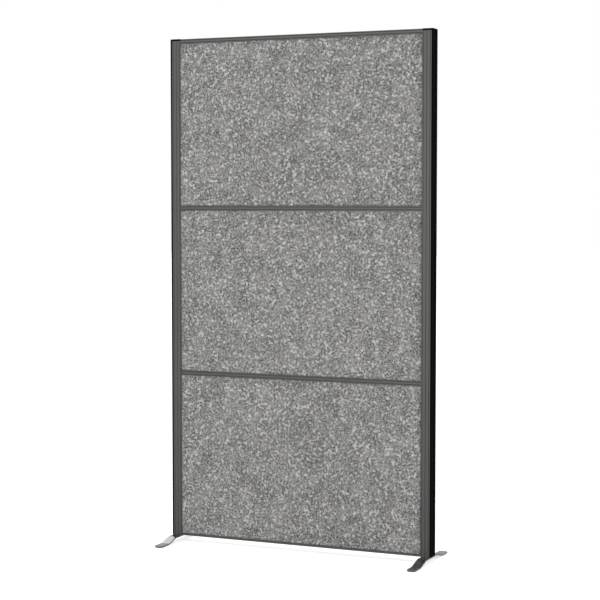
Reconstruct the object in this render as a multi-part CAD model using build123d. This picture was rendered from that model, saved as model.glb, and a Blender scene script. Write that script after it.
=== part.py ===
from build123d import *
from math import atan2, tan
import os

# A free-standing acoustic partition wall: an aluminium frame of two posts and four rails
# holds three felt-faced panels, and a bent steel foot is bolted under each post.
# Millimetres. Origin on the floor at the middle of the wall, +X along the wall to the
# viewer's right, +Y to the rear, +Z up.

# Driving dimensions: overall
frame_width = 1002.0          # outside to outside, over the two link strips
frame_height = 1800.0         # underside of the posts to the top of the top rail
frame_depth = 44.0            # front to rear of a post
panel_names = ["bottom", "middle", "top"]
rail_names = ["lower_middle_rail", "upper_middle_rail", "top_rail"]

# Driving dimensions: posts
post_wall = 2.0
post_corner = 0.8
slot_depth = 11.0             # panel slot in the post's inner side
chamber_width = 12.6          # closed chamber along the middle of the post
link_recess_depth = 5.4       # recess in the outer side for the link strip's body
lip_width = 4.0               # stepped-back strip of the front face beside the panels
lip_step = 0.3
post_groove_count = 3         # fine grooves along a post's front and rear faces
post_groove_pitch = 12.0
post_groove_width = 2.0
post_groove_depth = 1.0

# Driving dimensions: rails
rail_height = 17.0
bottom_rail_height = 8.0
rail_setback = 1.0            # rail's face behind the posts' face
rail_wall = 1.7
rail_corner = 0.4
rail_port_wall = 1.35         # metal over and under a middle rail's screw ports
top_port_wall = 0.7           # the same in the top rail, whose web ends under the caps
bottom_groove_depth = 1.0
rail_line_pitch = 8.6         # between the two fine lines along a rail's face
rail_line_width = 1.8
rail_line_depth = 1.0
rail_port_spacing = 14.0      # between the two screw ports of a rail
rail_web_chamber = 5.0        # width of the hollow between the screw ports

# Driving dimensions: panels
core_thickness = 24.0
felt_thickness = 12.0
felt_edge_round = 4.0

# Driving dimensions: link strips and caps
strip_flange = 6.0
strip_body_width = 24.0
strip_corner = 0.6            # upright edges of a strip and its cap
link_slot_opening = 8.0
link_slot_inner = 14.0
link_slot_lip = 3.0
link_slot_depth = 8.0
cap_thickness = 7.0
cap_rise = 1.0                # how far a cap stands over the top rail
cap_spigot_length = 16.0
cap_spigot_wall = 2.0
cap_corner = 3.0

# Driving dimensions: feet
foot_length = 344.0
foot_width = 33.0
foot_thickness = 5.0
foot_rise = 14.5              # underside of the raised middle over the toes' underside
foot_flat_length = 120.0      # raised middle, between its two bends
foot_slope_run = 55.0
foot_bend_radius = 8.0        # inside of a bend
foot_end_radius = 13.0
foot_edge = 0.8
pad_thickness = 1.5
pad_inset = 3.0
pad_length = 42.0

# Driving dimensions: fasteners and foot anchors
foot_bolt_diameter = 6.0
foot_bolt_head = 12.0
foot_bolt_head_height = 3.3
foot_bolt_edge = 4.7          # bolt's centre from the end of the anchor
foot_bolt_length = 25.0
foot_bolt_end_gap = 2.0       # thread left over past the end of a foot bolt
foot_bolt_key = 4.0           # across the flats of its hexagon socket
foot_bolt_key_depth = 2.2
anchor_height = 44.0
anchor_screw_diameter = 4.0
anchor_screw_head = 7.6
anchor_screw_length = 10.0
anchor_screw_heights = (14.0, 34.0)
rail_screw_diameter = 4.2
rail_screw_head = 7.0
rail_screw_head_height = 3.0
rail_screw_length = 40.0
screw_access_diameter = 9.0

# Named clearances
slide_gap = 0.3               # pieces that slide into an extrusion, each side
butt_gap = 0.15               # ends of rails, felt and caps against their neighbours
thread_gap = 0.05             # radial, screw in its thread or port
hole_gap = 0.3                # radial, screw through a plain hole
core_end_gap = 0.5            # core short of the bottom of its groove
cut_over = 1.0                # how far a cutting shape runs past the face that it opens

# Worked out from the driving dimensions
half_depth = frame_depth / 2
half_width = frame_width / 2
post_width = slot_depth + post_wall + chamber_width + post_wall + link_recess_depth
inner_x = half_width - strip_flange - post_width          # inner edge of the right post
outer_x = half_width - strip_flange                       # outer side of the right post's metal
foot_height = pad_thickness + foot_rise + foot_thickness  # floor to the posts' underside
top_z = foot_height + frame_height
post_top = top_z + cap_rise - cap_thickness
post_length = post_top - foot_height
rail_depth = frame_depth - 2 * rail_setback
slot_half = core_thickness / 2 + slide_gap
recess_half = strip_body_width / 2 + slide_gap
inner_web_x = inner_x + slot_depth
chamber_low_x = inner_web_x + post_wall
recess_base_x = outer_x - link_recess_depth               # bottom of the link strip's recess
chamber_high_x = recess_base_x - post_wall
chamber_half = half_depth - post_wall
anchor_low_x = chamber_low_x + slide_gap
anchor_high_x = chamber_high_x - slide_gap
anchor_screw_sink = (anchor_screw_head - anchor_screw_diameter) / 2
foot_centre_x = (anchor_low_x + anchor_high_x) / 2
foot_underside = foot_height - foot_thickness             # of its raised middle
opening_width = 2 * inner_x
opening_height = (frame_height - bottom_rail_height) / len(panel_names) - rail_height
pitch = opening_height + rail_height
tenon_length = slot_depth - slide_gap
rail_port_height = rail_screw_diameter + 2 * thread_gap
rail_groove_depth = (rail_height - rail_port_height) / 2 - rail_port_wall   # in a middle rail
top_web_high = rail_height - cap_thickness + cap_rise - slide_gap
top_groove_depth = top_web_high - rail_port_height - 2 * top_port_wall


# Box from its low corner to its high corner.
def block(x0, x1, y0, y1, z0, z1):
    middle = Pos((x0 + x1) / 2, (y0 + y1) / 2, (z0 + z1) / 2)
    return middle * Box(x1 - x0, y1 - y0, z1 - z0)


# Rectangle in the XY plane from its low corner to its high corner.
def flat(x0, x1, y0, y1):
    return Pos((x0 + x1) / 2, (y0 + y1) / 2) * Rectangle(x1 - x0, y1 - y0)


# Cylinder along X from x0 to x1.
def rod_x(x0, x1, y, z, radius):
    return Pos((x0 + x1) / 2, y, z) * Rot(0, 90, 0) * Cylinder(radius, x1 - x0)


# Cylinder along Z from z0 to z1.
def rod_z(x, y, z0, z1, radius):
    return Pos(x, y, (z0 + z1) / 2) * Cylinder(radius, z1 - z0)


# One node from one solid, or from several that stay separate.
def node_of(solids):
    return solids[0] if len(solids) == 1 else Compound(children=solids)


# The same node for the wall's left-hand end.
def mirrored(solids):
    return node_of([mirror(solid, about=Plane.YZ) for solid in solids])


# Triangle that cuts a fine groove downwards from the middle of its top edge.
def v_groove(width, depth):
    points = [(-width / 2, 0), (width / 2, 0), (0, -depth)]
    return make_face(Polyline(*points, close=True))


# Underside height of each rail, lowest first.
def rail_levels():
    levels = {"bottom_rail": foot_height}
    for index, name in enumerate(rail_names):
        levels[name] = foot_height + bottom_rail_height + opening_height + index * pitch
    return levels


# Floor-to-underside height of each panel opening, lowest first.
def opening_levels():
    first = foot_height + bottom_rail_height
    return {name: first + index * pitch for index, name in enumerate(panel_names)}


# Vertical span of a rail's web between its panel grooves, from its underside.
def web_span(name):
    if name == "bottom_rail":
        return 0.0, bottom_rail_height - bottom_groove_depth
    if name == "top_rail":
        return top_groove_depth, top_web_high
    return rail_groove_depth, rail_height - rail_groove_depth


# Height of a rail's screw ports over its underside. The bottom rail's are low in its web,
# where the screw heads just clear the foot.
def port_height(name):
    if name == "bottom_rail":
        return rail_screw_head / 2 + slide_gap
    return sum(web_span(name)) / 2


# Height of each rail's screws, lowest first.
def rail_screw_levels():
    return [low + port_height(name) for name, low in rail_levels().items()]


# Post extrusion, right-hand side.
def post_section():
    section = flat(inner_x, outer_x, -half_depth, half_depth)
    section = fillet(section.vertices(), post_corner)
    section -= flat(inner_x - cut_over, inner_web_x, -slot_half, slot_half)
    section -= flat(chamber_low_x, chamber_high_x, -chamber_half, chamber_half)
    section -= flat(recess_base_x, outer_x + cut_over, -recess_half, recess_half)
    for side in (-1, 1):
        face = side * half_depth
        step_low, step_high = sorted((face, face - side * lip_step))
        section -= flat(inner_x - cut_over, inner_x + lip_width, step_low, step_high)
        groove = Rot(0, 0, 90 - 90 * side) * v_groove(post_groove_width, post_groove_depth)
        for index in range(post_groove_count):
            section -= Pos(inner_x + lip_width + index * post_groove_pitch, face) * groove
        hollow = sorted((side * (slot_half + post_wall), side * (chamber_half - lip_step)))
        section -= flat(inner_x + post_wall, inner_web_x, *hollow)
        hollow = sorted((side * (recess_half + post_wall), side * chamber_half))
        section -= flat(chamber_high_x + post_wall, outer_x - post_wall, *hollow)
    return section


def make_post():
    post = Pos(0, 0, foot_height) * extrude(post_section(), amount=post_length)
    for z in rail_screw_levels():
        for side in (-1, 1):
            y = side * rail_port_spacing / 2
            hole_radius = rail_screw_diameter / 2 + hole_gap
            post -= rod_x(inner_x, chamber_low_x + cut_over, y, z, hole_radius)
            post -= rod_x(chamber_high_x - cut_over, outer_x, y, z, screw_access_diameter / 2)
    screw_hole = anchor_screw_diameter / 2 + hole_gap
    for height in anchor_screw_heights:
        z = foot_height + height
        post -= rod_x(chamber_high_x - cut_over, recess_base_x + cut_over, 0, z, screw_hole)
        post -= anchor_screw_cone(z, hole_gap)
    return post


# Countersunk head of an anchor screw, or its seat where gap is more than nothing.
def anchor_screw_cone(z, gap):
    cone = Cone(anchor_screw_diameter / 2 + gap, anchor_screw_head / 2 + gap, anchor_screw_sink)
    return Pos(recess_base_x - anchor_screw_sink / 2, 0, z) * Rot(0, 90, 0) * cone


# Rail section in the YZ plane, with its underside at z = 0 and with its screw ports.
def rail_section(name):
    height = bottom_rail_height if name == "bottom_rail" else rail_height
    web_low, web_high = web_span(name)
    half = rail_depth / 2
    section = flat(-half, half, 0, height)
    section = fillet(section.vertices(), rail_corner)
    if name != "top_rail":
        section -= flat(-slot_half, slot_half, web_high, height + cut_over)
    if name != "bottom_rail":
        section -= flat(-slot_half, slot_half, -cut_over, web_low)
    for side in (-1, 1):
        hollow = sorted((side * (slot_half + rail_wall), side * (half - rail_wall)))
        section -= flat(*hollow, rail_wall, height - rail_wall)
        if name == "bottom_rail":
            continue
        line = Rot(0, 0, -90 * side) * v_groove(rail_line_width, rail_line_depth)
        for line_side in (-1, 1):
            section -= Pos(side * half, height / 2 + line_side * rail_line_pitch / 2) * line
    return section - port_section(name)


# Screw ports and the hollow between them.
def port_section(name):
    web_low, web_high = web_span(name)
    half = rail_web_chamber / 2
    hollow = flat(-half, half, web_low + rail_wall, web_high - rail_wall)
    for side in (-1, 1):
        port = Circle(rail_port_height / 2)
        hollow += Pos(side * rail_port_spacing / 2, port_height(name)) * port
    return hollow


# The web runs on into both posts as a tenon as wide as the core.
def make_rail(name, low):
    web_low, web_high = web_span(name)
    length = opening_width - 2 * butt_gap
    body = extrude(Plane.YZ * rail_section(name), amount=length / 2, both=True)
    half_core = core_thickness / 2
    web = flat(-half_core, half_core, web_low, web_high) - port_section(name)
    tenon = extrude(Plane.YZ * web, amount=inner_x + tenon_length, both=True)
    return Pos(0, 0, low) * (body + tenon)


# Felt board glued to the core, with the edges of its outer face rounded.
def make_felt(low, side):
    width = opening_width - 2 * butt_gap
    height = opening_height - 2 * butt_gap
    inner = side * core_thickness / 2
    outer = side * (core_thickness / 2 + felt_thickness)
    board = block(-width / 2, width / 2, *sorted((inner, outer)), low + butt_gap, low + butt_gap + height)
    face = board.faces().sort_by(Axis.Y)[-1 if side > 0 else 0]
    return fillet(face.edges(), felt_edge_round)


# The core reaches past the felt into the posts' slots and the rails' grooves.
def make_core(name, low):
    bottom_reach = bottom_groove_depth if name == panel_names[0] else rail_groove_depth
    z0 = low - bottom_reach + core_end_gap
    top_reach = top_groove_depth if name == panel_names[-1] else rail_groove_depth
    z1 = low + opening_height + top_reach - core_end_gap
    half = inner_x + slot_depth - core_end_gap
    half_core = core_thickness / 2
    return block(-half, half, -half_core, half_core, z0, z1)


# Black strip that closes the post's outer side and carries a T slot for linking walls.
def make_link_strip():
    body_half = strip_body_width / 2
    slot_base = half_width - link_slot_depth
    section = flat(outer_x, half_width, -half_depth, half_depth)
    outer_corners = section.vertices().sort_by(Axis.X)[-2:]
    section = fillet(outer_corners, strip_corner)
    section += flat(recess_base_x + slide_gap, outer_x, -body_half, body_half)
    section -= flat(slot_base, half_width - link_slot_lip, -link_slot_inner / 2, link_slot_inner / 2)
    section -= flat(slot_base, half_width + cut_over, -link_slot_opening / 2, link_slot_opening / 2)
    return Pos(0, 0, foot_height) * extrude(section, amount=post_length)


# Cap over a post and its strip, with a hollow spigot in the post's chamber.
def make_cap():
    cap_top = post_top + cap_thickness
    cap = block(inner_x + butt_gap, half_width, -half_depth, half_depth, post_top, cap_top)
    upright = cap.edges().filter_by(Axis.Z).sort_by(Axis.X)[-2:]
    cap = fillet(upright, strip_corner)
    outer_top = cap.edges().filter_by(Axis.Y).group_by(Axis.Z)[-1].sort_by(Axis.X)[-1]
    cap = fillet(outer_top, cap_corner)
    spigot_low = post_top - cap_spigot_length
    half = chamber_half - slide_gap
    cap += block(anchor_low_x, anchor_high_x, -half, half, spigot_low, post_top)
    wall = cap_spigot_wall
    hollow_low = anchor_low_x + wall
    hollow_high = anchor_high_x - wall
    cap -= block(hollow_low, hollow_high, wall - half, half - wall, spigot_low - cut_over, post_top)
    head_top = rail_screw_levels()[-1] + rail_screw_head / 2 + slide_gap
    return cap - screw_head_pocket(spigot_low - cut_over, max(post_top, head_top))


# Room beside the post's inner web for the heads of a rail's two screws.
def screw_head_pocket(z0, z1):
    half = rail_port_spacing / 2 + rail_screw_head / 2 + slide_gap
    reach = chamber_low_x + rail_screw_head_height + slide_gap
    return block(chamber_low_x - cut_over, reach, -half, half, z0, z1)


# Side line of the foot bar from its front toe to its rear toe, at offset over the underside:
# 0 for the underside itself, foot_thickness for the top.
def foot_line(offset):
    angle = atan2(foot_rise, foot_slope_run)
    shift = offset * tan(angle / 2)
    flat_half = foot_flat_length / 2 - shift
    toe_start = foot_flat_length / 2 + foot_slope_run - shift
    low = pad_thickness + offset
    points = [
        (-foot_length / 2, low),
        (-toe_start, low),
        (-flat_half, low + foot_rise),
        (flat_half, low + foot_rise),
        (toe_start, low),
        (foot_length / 2, low),
    ]
    inside = foot_bend_radius
    outside = foot_bend_radius + foot_thickness
    toe_radius, middle_radius = (outside, inside) if offset == 0 else (inside, outside)
    return FilletPolyline(*points, radius=[toe_radius, middle_radius, middle_radius, toe_radius])


# True for an edge around the bar's upper or lower skin, false for a bend line.
def is_outline(edge):
    nearly_parallel = 0.99
    direction = edge.tangent_at(0.5)
    if abs(direction.Z) > nearly_parallel:
        return False
    if abs(direction.X) > nearly_parallel:
        return abs(edge.center().Y) > foot_length / 2 - foot_edge
    return True


# Flat bar bent down to a toe at each end, with rounded ends.
def make_foot():
    under = foot_line(0)
    over = foot_line(foot_thickness)
    ends = [Line(under @ 0, over @ 0), Line(under @ 1, over @ 1)]
    side_face = make_face(Curve() + [under, over, *ends])
    bar = extrude(Plane.YZ * side_face, amount=foot_width / 2, both=True)
    plan = RectangleRounded(foot_width, foot_length, foot_end_radius)
    bar = bar & extrude(plan, amount=foot_height + cut_over)
    bar = fillet([edge for edge in bar.edges() if is_outline(edge)], foot_edge)
    foot = Pos(foot_centre_x, 0, 0) * bar
    for y in foot_bolt_rows():
        foot -= rod_z(foot_centre_x, y, 0, foot_height + cut_over, foot_bolt_diameter / 2 + hole_gap)
        foot -= foot_bolt_cone(y, hole_gap)
    return foot


# Countersunk head of a foot bolt, or its seat where gap is more than nothing.
def foot_bolt_cone(y, gap):
    cone = Cone(foot_bolt_head / 2 + gap, foot_bolt_diameter / 2 + gap, foot_bolt_head_height)
    return Pos(foot_centre_x, y, foot_underside + foot_bolt_head_height / 2) * cone


# Front and rear bolt of a foot, clear of the anchor's ends.
def foot_bolt_rows():
    half_spacing = chamber_half - slide_gap - foot_bolt_edge
    return (-half_spacing, half_spacing)


# Pads glued under the two toes.
def make_foot_pads():
    pads = []
    width = foot_width - 2 * pad_inset
    for side in (-1, 1):
        y = side * (foot_length / 2 - pad_inset - pad_length / 2)
        plan = RectangleRounded(width, pad_length, foot_end_radius - pad_inset)
        pads.append(Pos(foot_centre_x, y, 0) * extrude(plan, amount=pad_thickness))
    return pads


# Countersunk bolts up through the foot into the anchor.
def make_foot_bolts():
    bolts = []
    hexagon = RegularPolygon(foot_bolt_key / 2, 6, major_radius=False)
    end = foot_underside + foot_bolt_length
    for y in foot_bolt_rows():
        shank = rod_z(foot_centre_x, y, foot_underside, end, foot_bolt_diameter / 2)
        socket = Pos(foot_centre_x, y, foot_underside) * extrude(hexagon, amount=foot_bolt_key_depth)
        bolts.append(foot_bolt_cone(y, 0) + shank - socket)
    return bolts


# Metal block in the foot of the post's chamber that takes the foot bolts.
def make_anchor():
    half = chamber_half - slide_gap
    anchor = block(anchor_low_x, anchor_high_x, -half, half, foot_height, foot_height + anchor_height)
    head_top = rail_screw_levels()[0] + rail_screw_head / 2 + slide_gap
    anchor -= screw_head_pocket(foot_height - cut_over, head_top)
    for y in foot_bolt_rows():
        radius = foot_bolt_diameter / 2 + thread_gap
        depth = foot_bolt_length - foot_thickness + foot_bolt_end_gap
        anchor -= rod_z(foot_centre_x, y, foot_height - cut_over, foot_height + depth, radius)
    for height in anchor_screw_heights:
        radius = anchor_screw_diameter / 2 + thread_gap
        anchor -= rod_x(anchor_low_x - cut_over, anchor_high_x + cut_over, 0, foot_height + height, radius)
    return anchor


# Countersunk screws that hold the anchor to the post, under the link strip.
def make_anchor_screws():
    screws = []
    tip_x = recess_base_x - anchor_screw_length
    for height in anchor_screw_heights:
        z = foot_height + height
        shank = rod_x(tip_x, recess_base_x, 0, z, anchor_screw_diameter / 2)
        screws.append(shank + anchor_screw_cone(z, 0))
    return screws


# Cap screws from the post's chamber through its inner web into the rails' ports.
def make_rail_screws():
    screws = []
    head_low = chamber_low_x
    head_high = chamber_low_x + rail_screw_head_height
    for z in rail_screw_levels():
        for side in (-1, 1):
            y = side * rail_port_spacing / 2
            shank = rod_x(head_low - rail_screw_length, head_high, y, z, rail_screw_diameter / 2)
            head = rod_x(head_low, head_high, y, z, rail_screw_head / 2)
            screws.append(shank + head)
    return screws


# Every node of the assembly by name.
def make_nodes():
    nodes = {}
    for name, low in rail_levels().items():
        nodes[name] = make_rail(name, low)
    for name, low in opening_levels().items():
        nodes[name + "_panel_core"] = make_core(name, low)
        nodes[name + "_panel_front_felt"] = make_felt(low, -1)
        nodes[name + "_panel_rear_felt"] = make_felt(low, 1)
    right_hand = {
        "post": [make_post()],
        "link_strip": [make_link_strip()],
        "top_cap": [make_cap()],
        "foot": [make_foot()],
        "foot_pads": make_foot_pads(),
        "foot_bolts": make_foot_bolts(),
        "foot_anchor": [make_anchor()],
        "anchor_screws": make_anchor_screws(),
        "rail_screws": make_rail_screws(),
    }
    for name, solids in right_hand.items():
        nodes[name + "_left"] = mirrored(solids)
        nodes[name + "_right"] = node_of(solids)
    return nodes


os.makedirs("parts", exist_ok=True)
for name, shape in make_nodes().items():
    export_step(shape, "parts/" + name + ".step")
    print(name, len(shape.solids()))
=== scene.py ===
from math import ceil, cos, pi, radians, sqrt

import bpy
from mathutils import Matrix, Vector, noise


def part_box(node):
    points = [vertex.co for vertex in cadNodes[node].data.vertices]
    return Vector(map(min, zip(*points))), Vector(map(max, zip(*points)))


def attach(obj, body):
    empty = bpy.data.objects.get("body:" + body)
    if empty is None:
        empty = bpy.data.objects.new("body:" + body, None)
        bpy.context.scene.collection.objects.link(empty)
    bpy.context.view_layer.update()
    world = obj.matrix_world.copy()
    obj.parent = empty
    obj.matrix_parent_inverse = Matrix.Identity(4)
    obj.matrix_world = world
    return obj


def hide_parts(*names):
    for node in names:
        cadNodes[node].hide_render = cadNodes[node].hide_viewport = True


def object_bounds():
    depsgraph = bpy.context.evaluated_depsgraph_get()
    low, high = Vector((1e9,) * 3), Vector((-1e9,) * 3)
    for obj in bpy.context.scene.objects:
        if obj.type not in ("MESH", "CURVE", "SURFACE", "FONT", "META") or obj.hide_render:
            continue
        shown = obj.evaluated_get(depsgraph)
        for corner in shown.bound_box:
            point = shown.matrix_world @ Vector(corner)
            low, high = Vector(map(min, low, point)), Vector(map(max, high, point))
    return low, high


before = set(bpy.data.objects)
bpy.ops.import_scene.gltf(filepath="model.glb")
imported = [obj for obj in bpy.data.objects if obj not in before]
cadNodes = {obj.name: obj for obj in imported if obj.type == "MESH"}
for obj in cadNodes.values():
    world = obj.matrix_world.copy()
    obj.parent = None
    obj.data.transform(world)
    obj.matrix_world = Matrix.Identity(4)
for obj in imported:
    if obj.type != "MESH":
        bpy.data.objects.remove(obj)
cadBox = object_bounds()
sides = ("left", "right")
panels = ("bottom", "middle", "top")
print("frame loaded:", len(cadNodes), "pieces of the wall")


# One shader node. An input may be a plain value or another node's output.
def addNode(tree, kind, inputs=None, **settings):
    made = tree.nodes.new("ShaderNode" + kind)
    for name, value in settings.items():
        setattr(made, name, value)
    for name, value in (inputs or {}).items():
        if isinstance(value, bpy.types.NodeSocket):
            tree.links.new(value, made.inputs[name])
        else:
            made.inputs[name].default_value = value
    return made


# A material with its Principled shader, and the place on the piece in metres.
def newFinish(name, **looks):
    finish = bpy.data.materials.new(name)
    finish.use_nodes = True
    tree = finish.node_tree
    shader = tree.nodes["Principled BSDF"]
    for socket, value in looks.items():
        shader.inputs[socket.replace("_", " ")].default_value = value
    place = addNode(tree, "TexCoord").outputs["Object"]
    return finish, tree, shader, place


# Noise drawn out to blobs of the given size in metres, turned about Y by so many degrees.
def blobs(tree, place, size, turn=0.0, shift=0.0, detail=2.0, roughness=0.5):
    spread = addNode(tree, "Mapping", {
        "Vector": place, "Location": (shift, shift / 3, -shift / 2),
        "Rotation": (0, radians(turn), 0), "Scale": size,
    }, vector_type="TEXTURE").outputs[0]
    made = addNode(tree, "TexNoise", {
        "Vector": spread, "Scale": 1.0, "Detail": detail, "Roughness": roughness,
    })
    return made.outputs["Fac"]


def roundBlobs(tree, place, size, **settings):
    return blobs(tree, place, (size, size, size), **settings)


def doMath(tree, operation, a, b=0.0):
    return addNode(tree, "Math", {0: a, 1: b}, operation=operation).outputs[0]


# Two values added up by their shares.
def weigh(tree, first, firstShare, second, secondShare):
    first = doMath(tree, "MULTIPLY", first, firstShare)
    return doMath(tree, "ADD", first, doMath(tree, "MULTIPLY", second, secondShare))


# Takes low..high to newLow..newHigh, and stops at both ends.
def remap(tree, value, low, high, newLow=0.0, newHigh=1.0):
    return addNode(tree, "MapRange", {
        "Value": value, "From Min": low, "From Max": high, "To Min": newLow, "To Max": newHigh,
    }).outputs[0]


def blend(tree, share, first, second):
    made = addNode(tree, "Mix", {0: share, 6: first, 7: second}, data_type="RGBA")
    return made.outputs[2]


def scaled(tone, factor):
    return (tone[0] * factor, tone[1] * factor, tone[2] * factor, 1)


# A tone that goes from its darker to its lighter factor as the noise goes from low to high.
def mottled(tree, value, noiseRange, tone, factors):
    share = remap(tree, value, *noiseRange)
    return blend(tree, share, scaled(tone, factors[0]), scaled(tone, factors[1]))


# A colour made darker or lighter by another node's value.
def shaded(tree, colour, factor):
    return addNode(tree, "VectorMath", {0: colour, "Scale": factor}, operation="SCALE").outputs[0]


def setColour(tree, shader, colour):
    tree.links.new(colour, shader.inputs["Base Color"])


def setRoughness(tree, shader, value, noiseRange, roughness):
    tree.links.new(remap(tree, value, *noiseRange, *roughness), shader.inputs["Roughness"])


def addBump(tree, shader, height, depth, strength=1.0):
    bump = addNode(tree, "Bump", {"Height": height, "Distance": depth, "Strength": strength})
    tree.links.new(bump.outputs[0], shader.inputs["Normal"])


# The strongest of several layers of fibres, each lying at its own angle and in its own place.
def fibreLayers(tree, place, layers):
    strongest = None
    for turn in layers["turns"]:
        layer = blobs(tree, place, layers["size"], turn, shift=turn / layers["spacing"])
        strongest = layer if strongest is None else doMath(tree, "MAXIMUM", strongest, layer)
    return strongest


# Melange felt: tufts of dark, mid and light wool with stray fibres lying every way. A range says
# from which noise to which a layer comes in and, where it has four numbers, how strongly. A gather
# range says in the same way how much of that layer the patches let through.
def makeFelt():
    felt = {
        "light": (0.62, 0.612, 0.592),
        "mid": (0.120, 0.1185, 0.1155),
        "dark": (0.014, 0.014, 0.0135),
        "midFactors": (0.22, 2.5),
        "midRange": (0.40, 0.62),
        "tuft": 0.0060,
        "cloud": 0.045,
        "cloudShare": 0.25,
        "cluster": 0.0078,     # size of the patches where light or dark fibres gather
        "lightFibres": {"size": (0.011, 0.003, 0.0017), "turns": (12, 64, 118, 160), "spacing": 90},
        "lightRange": (0.59, 0.69, 0.0, 0.95),
        "lightGather": (0.40, 0.66, 0.3, 1.0),
        "darkFibres": {"size": (0.011, 0.003, 0.0017), "turns": (38, 96, 145), "spacing": 70},
        "darkRange": (0.58, 0.675, 0.0, 0.98),
        "darkGather": (0.36, 0.60, 1.0, 0.3),
        "hairs": {"size": (0.006, 0.0012, 0.0004), "turns": (25, 80, 135), "spacing": 50},
        "hairRange": (0.60, 0.70, 0.0, 0.45),
        "hairTone": 1.1,       # against the light wool
        "fleck": (0.0096, 0.0088, 0.0082),  # small knots of the lightest wool
        "fleckTurn": 35,
        "fleckRange": (0.59, 0.76, 0.0, 0.56),
        "fleckTone": 1.15,
        "edgeShadeTone": 0.70,      # painted shade: how dark the wool is drawn where it meets the frame
        "curl": 0.004,         # how far a fibre strays from its line
        "curlScale": 160.0,
        "relief": 0.0006,
        "lightRelief": 0.5,
        "tuftRelief": 0.5,
        "hairRelief": 0.4,
    }
    finish, tree, shader, place = newFinish("feltMelange", Roughness=0.95, Sheen_Weight=0.12,
                                            Sheen_Roughness=0.6, Specular_IOR_Level=0.2)
    swirl = addNode(tree, "TexNoise", {"Vector": place, "Scale": felt["curlScale"], "Detail": 1.0})
    swirl = addNode(tree, "VectorMath", {0: swirl.outputs["Color"], 1: (0.5, 0.5, 0.5)},
                    operation="SUBTRACT").outputs[0]
    swirl = shaded(tree, swirl, felt["curl"])
    bent = addNode(tree, "VectorMath", {0: place, 1: swirl}, operation="ADD").outputs[0]

    tufts = roundBlobs(tree, bent, felt["tuft"], detail=3.0, roughness=0.62)
    clouds = doMath(tree, "SUBTRACT", roundBlobs(tree, place, felt["cloud"]), 0.5)
    tufts = doMath(tree, "ADD", tufts, doMath(tree, "MULTIPLY", clouds, felt["cloudShare"]))
    light = fibreLayers(tree, bent, felt["lightFibres"])
    dark = fibreLayers(tree, bent, felt["darkFibres"])
    hairs = fibreLayers(tree, bent, felt["hairs"])
    clusters = roundBlobs(tree, place, felt["cluster"], shift=3.7, detail=1.0)
    flecks = blobs(tree, bent, felt["fleck"], felt["fleckTurn"], shift=5.2, detail=0.0)

    light = remap(tree, light, *felt["lightRange"])
    light = doMath(tree, "MULTIPLY", light, remap(tree, clusters, *felt["lightGather"]))
    dark = remap(tree, dark, *felt["darkRange"])
    dark = doMath(tree, "MULTIPLY", dark, remap(tree, clusters, *felt["darkGather"]))
    hairs = remap(tree, hairs, *felt["hairRange"])
    flecks = remap(tree, flecks, *felt["fleckRange"])

    wool = mottled(tree, tufts, felt["midRange"], felt["mid"], felt["midFactors"])
    wool = blend(tree, light, wool, scaled(felt["light"], 1))
    wool = blend(tree, dark, wool, scaled(felt["dark"], 1))
    wool = blend(tree, flecks, wool, scaled(felt["light"], felt["fleckTone"]))
    wool = blend(tree, hairs, wool, scaled(felt["light"], felt["hairTone"]))
    # Painted shade: the wool is drawn darker near the frame, and darkest under the rails as their
    # shadow.
    paintedEdgeShade = addNode(tree, "Attribute", attribute_name="paintedEdgeShade").outputs["Fac"]
    wool = shaded(tree, wool, remap(tree, paintedEdgeShade, 0.0, 1.0, 1.0, felt["edgeShadeTone"]))
    setColour(tree, shader, wool)

    height = weigh(tree, light, felt["lightRelief"], tufts, felt["tuftRelief"])
    height = doMath(tree, "ADD", height, doMath(tree, "MULTIPLY", hairs, felt["hairRelief"]))
    addBump(tree, shader, height, felt["relief"])
    return finish


# Dark anodised aluminium with fine lines along the extrusion, and painted shade in its grooves, which
# are drawn darker than its outer faces; these lie at the given distance from the wall's middle plane.
def makeAnodised(name, look, face):
    metal = {
        "toneRange": (0.3, 0.7),
        "toneFactors": (0.88, 1.12),
        "grooveShadeTone": 0.42,
        "grooveDepth": (0.0008, 0.0004),   # where the painted groove shade is darkest, and where it starts
        "lineWidth": 0.0005,
        "lineLength": 0.9,
        "lineShare": 0.7,
        "cloud": 0.12,
        "cloudShare": 0.3,
        "roughness": (0.36, 0.46),
        "relief": 0.00002,
    }
    finish, tree, shader, place = newFinish(name, Metallic=1.0)
    size = [metal["lineLength"] if axis == look["along"] else metal["lineWidth"] for axis in "XYZ"]
    lines = blobs(tree, place, size, detail=3.0, roughness=0.6)
    clouds = roundBlobs(tree, place, metal["cloud"], shift=2.0)
    drift = weigh(tree, lines, metal["lineShare"], clouds, metal["cloudShare"])
    colour = mottled(tree, drift, metal["toneRange"], look["tone"], metal["toneFactors"])
    # Painted shade: the colour darkens where the surface lies below the outer face, in the grooves.
    out = doMath(tree, "ABSOLUTE", addNode(tree, "SeparateXYZ", {0: place}).outputs["Y"])
    deep, shallow = metal["grooveDepth"]
    grooveShade = remap(tree, out, face - deep, face - shallow, metal["grooveShadeTone"], 1.0)
    setColour(tree, shader, shaded(tree, colour, grooveShade))
    setRoughness(tree, shader, drift, metal["toneRange"], metal["roughness"])
    addBump(tree, shader, lines, metal["relief"])
    return finish


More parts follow.
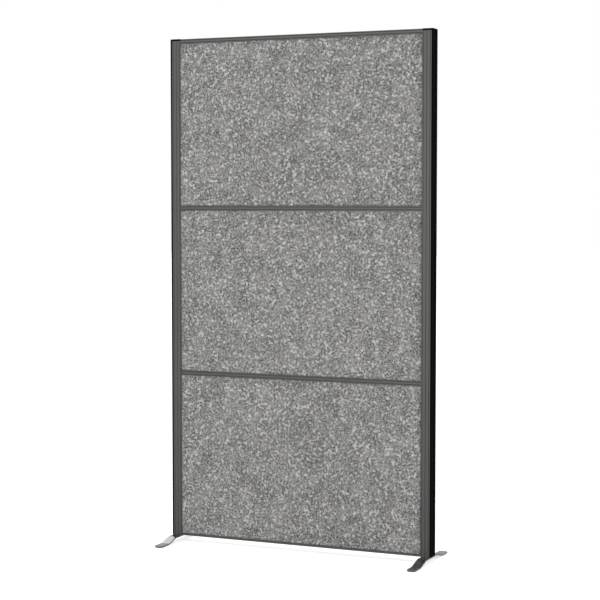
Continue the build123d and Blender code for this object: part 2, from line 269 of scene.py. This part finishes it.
# Black moulded or extruded plastic with a fine grain, which an extrusion draws out along its
# length.
def makeBlackPlastic(name, look):
    plastic = {
        "grain": 0.0007,
        "relief": 0.00003,
        "smear": (0.03, 0.03, 0.09),
        "toneRange": (0.35, 0.65),
        "toneFactors": (0.8, 1.2),
        "roughRange": (0.3, 0.7),
        "roughness": (0.5, 0.66),
    }
    finish, tree, shader, place = newFinish(name, Specular_IOR_Level=look["gloss"])
    width = plastic["grain"]
    grain = blobs(tree, place, (width, width, width * look["draw"]))
    smears = blobs(tree, place, plastic["smear"], shift=1.0)
    colour = mottled(tree, smears, plastic["toneRange"], look["tone"], plastic["toneFactors"])
    setColour(tree, shader, colour)
    setRoughness(tree, shader, smears, plastic["roughRange"], plastic["roughness"])
    addBump(tree, shader, grain, plastic["relief"])
    return finish


# Satin steel bar, brushed along its length.
def makeFootSteel():
    steel = {
        "tone": (0.195, 0.194, 0.192),
        "toneRange": (0.3, 0.7),
        "toneFactors": (0.92, 1.06),
        "brush": (0.0004, 0.05, 0.0004),
        "brushShare": 0.6,
        "smear": 0.02,
        "smearShare": 0.4,
        "roughRange": (0.35, 0.65),
        "roughness": (0.14, 0.24),
        "relief": 0.00002,
    }
    finish, tree, shader, place = newFinish("satinFootSteel", Metallic=1.0)
    brush = blobs(tree, place, steel["brush"], detail=3.0, roughness=0.6)
    smears = roundBlobs(tree, place, steel["smear"], shift=1.5)
    colour = mottled(tree, smears, steel["toneRange"], steel["tone"], steel["toneFactors"])
    setColour(tree, shader, colour)
    worn = weigh(tree, brush, steel["brushShare"], smears, steel["smearShare"])
    setRoughness(tree, shader, worn, steel["roughRange"], steel["roughness"])
    addBump(tree, shader, brush, steel["relief"])
    return finish


# Zinc-plated screws: pale metal with a faint yellow bloom.
def makeZinc():
    zinc = {
        "tone": (0.62, 0.62, 0.58),
        "bloom": (0.6, 0.56, 0.44),
        "bloomRange": (0.45, 0.7),
        "patch": 0.004,
        "roughRange": (0.3, 0.7),
        "roughness": (0.28, 0.42),
    }
    finish, tree, shader, place = newFinish("zincPlate", Metallic=1.0)
    patches = roundBlobs(tree, place, zinc["patch"], detail=3.0)
    bloom = remap(tree, patches, *zinc["bloomRange"])
    colour = blend(tree, bloom, scaled(zinc["tone"], 1), scaled(zinc["bloom"], 1))
    setColour(tree, shader, colour)
    setRoughness(tree, shader, patches, zinc["roughRange"], zinc["roughness"])
    return finish


# Rough cast aluminium of the blocks in the posts.
def makeCasting():
    casting = {
        "tone": (0.58, 0.58, 0.57),
        "toneRange": (0.3, 0.7),
        "toneFactors": (0.8, 1.1),
        "grain": 0.0012,
        "relief": 0.00015,
    }
    finish, tree, shader, place = newFinish("castAluminium", Metallic=1.0, Roughness=0.55)
    grain = roundBlobs(tree, place, casting["grain"], detail=4.0, roughness=0.6)
    colour = mottled(tree, grain, casting["toneRange"], casting["tone"], casting["toneFactors"])
    setColour(tree, shader, colour)
    addBump(tree, shader, grain, casting["relief"])
    return finish


# Black rubber of the foot pads.
def makeRubber():
    rubber = {
        "tone": (0.02, 0.02, 0.02),
        "toneRange": (0.3, 0.7),
        "toneFactors": (0.7, 1.4),
        "grain": 0.0009,
        "relief": 0.0001,
    }
    finish, tree, shader, place = newFinish("padRubber", Roughness=0.85, Specular_IOR_Level=0.3)
    grain = roundBlobs(tree, place, rubber["grain"])
    colour = mottled(tree, grain, rubber["toneRange"], rubber["tone"], rubber["toneFactors"])
    setColour(tree, shader, colour)
    addBump(tree, shader, grain, rubber["relief"])
    return finish


# Pale fibre board inside the panels.
def makeAbsorber():
    board = {
        "tone": (0.55, 0.55, 0.53),
        "toneRange": (0.4, 0.7),
        "toneFactors": (0.7, 1.15),
        "fibre": (0.02, 0.001, 0.001),
        "crossing": 70,        # degrees between the two layers of fibres
        "relief": 0.0004,
    }
    finish, tree, shader, place = newFinish("absorberBoard", Roughness=1.0, Specular_IOR_Level=0.1)
    fibres = blobs(tree, place, board["fibre"], detail=3.0)
    crossed = blobs(tree, place, board["fibre"], turn=board["crossing"], shift=0.6, detail=3.0)
    weave = doMath(tree, "MAXIMUM", fibres, crossed)
    colour = mottled(tree, weave, board["toneRange"], board["tone"], board["toneFactors"])
    setColour(tree, shader, colour)
    addBump(tree, shader, weave, board["relief"])
    return finish


# The pieces' every material slot takes the finish.
def coat(finish, names):
    for name in names:
        for slot in cadNodes[name].material_slots:
            slot.material = finish


def forBothSides(*names):
    return [name + "_" + side for name in names for side in sides]


# The rails' tone is a little lighter than the posts' as painted light: both are the same anodised
# metal, set apart to how each catches the light.
postMetal = {"tone": (0.104, 0.104, 0.102), "along": "Z"}
railMetal = {"tone": (0.112, 0.112, 0.110), "along": "X"}
stripBlack = {"tone": (0.004, 0.004, 0.004), "gloss": 0.004, "draw": 60}
capBlack = {"tone": (0.003, 0.003, 0.003), "gloss": 0.01, "draw": 1}
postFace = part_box("post_left")[1].y
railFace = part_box("top_rail")[1].y
rails = [name for name in cadNodes if name.endswith("_rail")]
coat(makeAnodised("anodisedPost", postMetal, postFace), forBothSides("post"))
coat(makeAnodised("anodisedRail", railMetal, railFace), rails)
coat(makeBlackPlastic("linkStripBlack", stripBlack), forBothSides("link_strip"))
coat(makeBlackPlastic("capBlack", capBlack), forBothSides("top_cap"))
coat(makeFootSteel(), forBothSides("foot"))
coat(makeZinc(), forBothSides("foot_bolts", "anchor_screws", "rail_screws"))
coat(makeCasting(), forBothSides("foot_anchor"))
coat(makeRubber(), forBothSides("foot_pads"))
coat(makeAbsorber(), [panel + "_panel_core" for panel in panels])
print("finishes on the frame's own pieces")

feltBoard = {
    "roundAcross": 0.009,  # how far in from a post the face starts to fall away
    "roundUp": 0.006,      # and how far in from a rail
    "drop": 0.0045,        # how far it has fallen at the edge
    "roundSteps": 7,
    "shadeBeside": 0.014,   # how far in from a post the painted shade darkens the wool
    "shadowBelow": 0.010,    # and under a rail, where it is painted as the rail's shadow
    "shadeAbove": 0.006,    # and over one
    "shadePower": 1.4,
    "step": 0.011,         # grid of the face
    "sway": 0.00035,       # how far the face dips between its high spots
    "swaySize": 0.06,
    "nub": 0.00015,
    "nubSize": 0.013,
    "fray": 0.0003,        # how unevenly the edge is cut
    "fraySize": 0.02,
    "apart": 9,            # keeps the front boards' noise from matching the rear ones'
    "sharpAngle": 50,      # degrees, from which an edge isn't smoothed
}


# Places of the grid lines from one edge to the other, close together over the rounded edges.
def gridLines(low, high, radius):
    steps = feltBoard["roundSteps"]
    turns = [radius * (1 - cos(pi / 2 * step / steps)) for step in range(steps)]
    middle = high - low - 2 * radius
    count = ceil(middle / feltBoard["step"])
    flat = [low + radius + middle * step / count for step in range(count + 1)]
    return [low + turn for turn in turns] + flat + [high - turn for turn in reversed(turns)]


# Smooth noise between 0 and the given height, in patches of the given size.
def uneven(spot, height, size):
    return height * (0.5 + 0.5 * noise.noise(spot / size))


# How far the felt's face lies under its highest level.
def feltDip(x, z, low, high):
    across = feltBoard["roundAcross"]
    up = feltBoard["roundUp"]
    overX = max(0.0, across - (x - low.x), across - (high.x - x)) / across
    overZ = max(0.0, up - (z - low.z), up - (high.z - z)) / up
    dip = feltBoard["drop"] * (1 - sqrt(max(0.0, 1 - overX ** 2 - overZ ** 2)))
    spot = Vector((x, low.y * feltBoard["apart"], z))
    sway = uneven(spot, feltBoard["sway"], feltBoard["swaySize"])
    nub = uneven(spot, feltBoard["nub"], feltBoard["nubSize"])
    return min(feltBoard["drop"], dip + sway + nub)


# Painted shade: 1 at the board's edge, 0 once well inside it.
def feltEdgeShade(x, z, low, high):
    beside = 1 - min(x - low.x, high.x - x) / feltBoard["shadeBeside"]
    below = 1 - (high.z - z) / feltBoard["shadowBelow"]
    above = 1 - (z - low.z) / feltBoard["shadeAbove"]
    return max(0.0, beside, below, above) ** feltBoard["shadePower"]


# Numbers of the face's outermost points, one after another round its edge.
def rimPoints(across, rows):
    rim = list(range(across))
    rim += [row * across + across - 1 for row in range(1, rows)]
    rim += [(rows - 1) * across + column for column in range(across - 2, -1, -1)]
    rim += [row * across for row in range(rows - 2, 0, -1)]
    return rim


# A point of the edge, drawn in as far as the cut is uneven there.
def frayed(x, y, z, faceY, low, high):
    spot = Vector((x, faceY * feltBoard["apart"], z))
    fray = uneven(spot, feltBoard["fray"], feltBoard["fraySize"])
    x += fray if x - low.x < fray else -fray if high.x - x < fray else 0
    z += fray if z - low.z < fray else -fray if high.z - z < fray else 0
    return x, y, z


# Closed felt board: an uneven face with rounded edges, four cut sides and a flat back.
def makeFeltBoard(node, facing, finish):
    low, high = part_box(node)
    faceY = low.y if facing < 0 else high.y
    backY = high.y if facing < 0 else low.y
    xs = gridLines(low.x, high.x, feltBoard["roundAcross"])
    zs = gridLines(low.z, high.z, feltBoard["roundUp"])
    points = [(x, faceY - facing * feltDip(x, z, low, high), z) for z in zs for x in xs]
    across = len(xs)
    faces = []
    for row in range(len(zs) - 1):
        for column in range(across - 1):
            corner = row * across + column
            faces.append((corner, corner + 1, corner + across + 1, corner + across))
    rim = rimPoints(across, len(zs))
    for index in rim:
        points[index] = frayed(*points[index], faceY, low, high)
    backStart = len(points)
    points += [(points[index][0], backY, points[index][2]) for index in rim]
    for step in range(len(rim)):
        after = (step + 1) % len(rim)
        faces.append((rim[after], rim[step], backStart + step, backStart + after))
    faces.append(tuple(backStart + step for step in reversed(range(len(rim)))))
    if facing > 0:
        faces = [tuple(reversed(face)) for face in faces]
    mesh = bpy.data.meshes.new(node + "_board")
    mesh.from_pydata(points, [], faces)
    mesh.polygons.foreach_set("use_smooth", [True] * len(mesh.polygons))
    mesh.set_sharp_from_angle(angle=radians(feltBoard["sharpAngle"]))
    mesh.materials.append(finish)
    # Stores the painted shade near the frame on the board's points.
    paintedEdgeShade = mesh.attributes.new("paintedEdgeShade", "FLOAT", "POINT")
    paintedEdgeShade.data.foreach_set("value", [feltEdgeShade(x, z, low, high) for x, y, z in points])
    board = bpy.data.objects.new(node + "_board", mesh)
    bpy.context.collection.objects.link(board)
    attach(board, "root")
    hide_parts(node)


feltFinish = makeFelt()
for panel in panels:
    makeFeltBoard(panel + "_panel_front_felt", -1, feltFinish)
    makeFeltBoard(panel + "_panel_rear_felt", 1, feltFinish)
print("six felt boards made")


# Pale floor. Its glow is only what the camera sees, so that it stays white.
def makeFloor():
    ground = {
        "size": 60.0,
        "tone": (0.74, 0.74, 0.74),
        "toneFactors": (0.985, 1.0),
        "patch": 0.4,
        "glow": 0.6,
    }
    mesh = bpy.data.meshes.new("floor")
    half = ground["size"] / 2
    corners = [(-half, -half, 0), (half, -half, 0), (half, half, 0), (-half, half, 0)]
    mesh.from_pydata(corners, [], [(0, 1, 2, 3)])
    finish, tree, shader, place = newFinish("paleFloor", Roughness=0.9, Specular_IOR_Level=0.1,
                                            Emission_Color=(1, 1, 1, 1))
    seen = addNode(tree, "LightPath").outputs["Is Camera Ray"]
    tree.links.new(doMath(tree, "MULTIPLY", seen, ground["glow"]), shader.inputs["Emission Strength"])
    patches = roundBlobs(tree, place, ground["patch"])
    darker, lighter = ground["toneFactors"]
    colour = blend(tree, patches, scaled(ground["tone"], darker), scaled(ground["tone"], lighter))
    setColour(tree, shader, colour)
    mesh.materials.append(finish)
    floor = bpy.data.objects.new("floor", mesh)
    bpy.context.collection.objects.link(floor)


# White all round for the camera. The sky that lights the wall is duller low down behind it.
def makeSky():
    sky = {
        "light": 1.18,
        "shade": 0.42,         # how much of the light is taken away
        "rearRange": (0.0, 0.4),
        "lowRange": (0.22, 0.42),
    }
    world = bpy.data.worlds.new("studio")
    bpy.context.scene.world = world
    world.use_nodes = True
    tree = world.node_tree
    tree.nodes.clear()
    direction = addNode(tree, "TexCoord").outputs["Generated"]
    parts = addNode(tree, "SeparateXYZ", {0: direction}).outputs
    behind = remap(tree, parts["Y"], *sky["rearRange"], 0.0, sky["shade"])
    low = remap(tree, parts["Z"], *sky["lowRange"], 1.0, 0.0)
    left = doMath(tree, "SUBTRACT", 1.0, doMath(tree, "MULTIPLY", behind, low))
    strength = doMath(tree, "MULTIPLY", sky["light"], left)
    lit = addNode(tree, "Background", {"Strength": strength, "Color": (1, 1, 1, 1)})
    plain = addNode(tree, "Background", {"Strength": 1.0, "Color": (1, 1, 1, 1)})
    seen = addNode(tree, "LightPath").outputs["Is Camera Ray"]
    mixed = addNode(tree, "MixShader", {0: seen, 1: lit.outputs[0], 2: plain.outputs[0]})
    addNode(tree, "OutputWorld", {"Surface": mixed.outputs[0]})


keyLight = {"at": (-1.2, -4.6, 1.25), "size": 2.4, "power": 15.0}
cardLight = {"at": (-2.1, 2.2, 2.1), "size": 1.5, "power": 10.0}


# Square softbox that faces the middle of the wall.
def addSoftbox(name, softbox):
    light = bpy.data.lights.new(name, "AREA")
    light.shape = "SQUARE"
    light.size = softbox["size"]
    light.energy = softbox["power"]
    lamp = bpy.data.objects.new(name, light)
    bpy.context.collection.objects.link(lamp)
    middle = (cadBox[0] + cadBox[1]) / 2
    lamp.location = softbox["at"]
    lamp.rotation_euler = (middle - Vector(softbox["at"])).to_track_quat("-Z", "Y").to_euler()
    lamp.visible_camera = False


def makeCamera():
    view = {
        "at": (2.39423, -5.37546, 1.24158),
        "down": 3.39826,       # degrees under the horizon
        "turn": 24.0054,       # degrees to the left of +Y
        "lens": 100.29,
        "sensor": 36.0,
    }
    camera = bpy.data.objects.new("camera", bpy.data.cameras.new("camera"))
    bpy.context.collection.objects.link(camera)
    camera.data.lens = view["lens"]
    camera.data.sensor_width = view["sensor"]
    camera.location = view["at"]
    camera.rotation_euler = (radians(90 - view["down"]), 0, radians(view["turn"]))
    bpy.context.scene.camera = camera


makeFloor()
makeSky()
addSoftbox("keyLight", keyLight)
addSoftbox("cardLight", cardLight)
makeCamera()
bpy.context.scene.view_settings.view_transform = "Standard"
print("studio, lights and camera set")
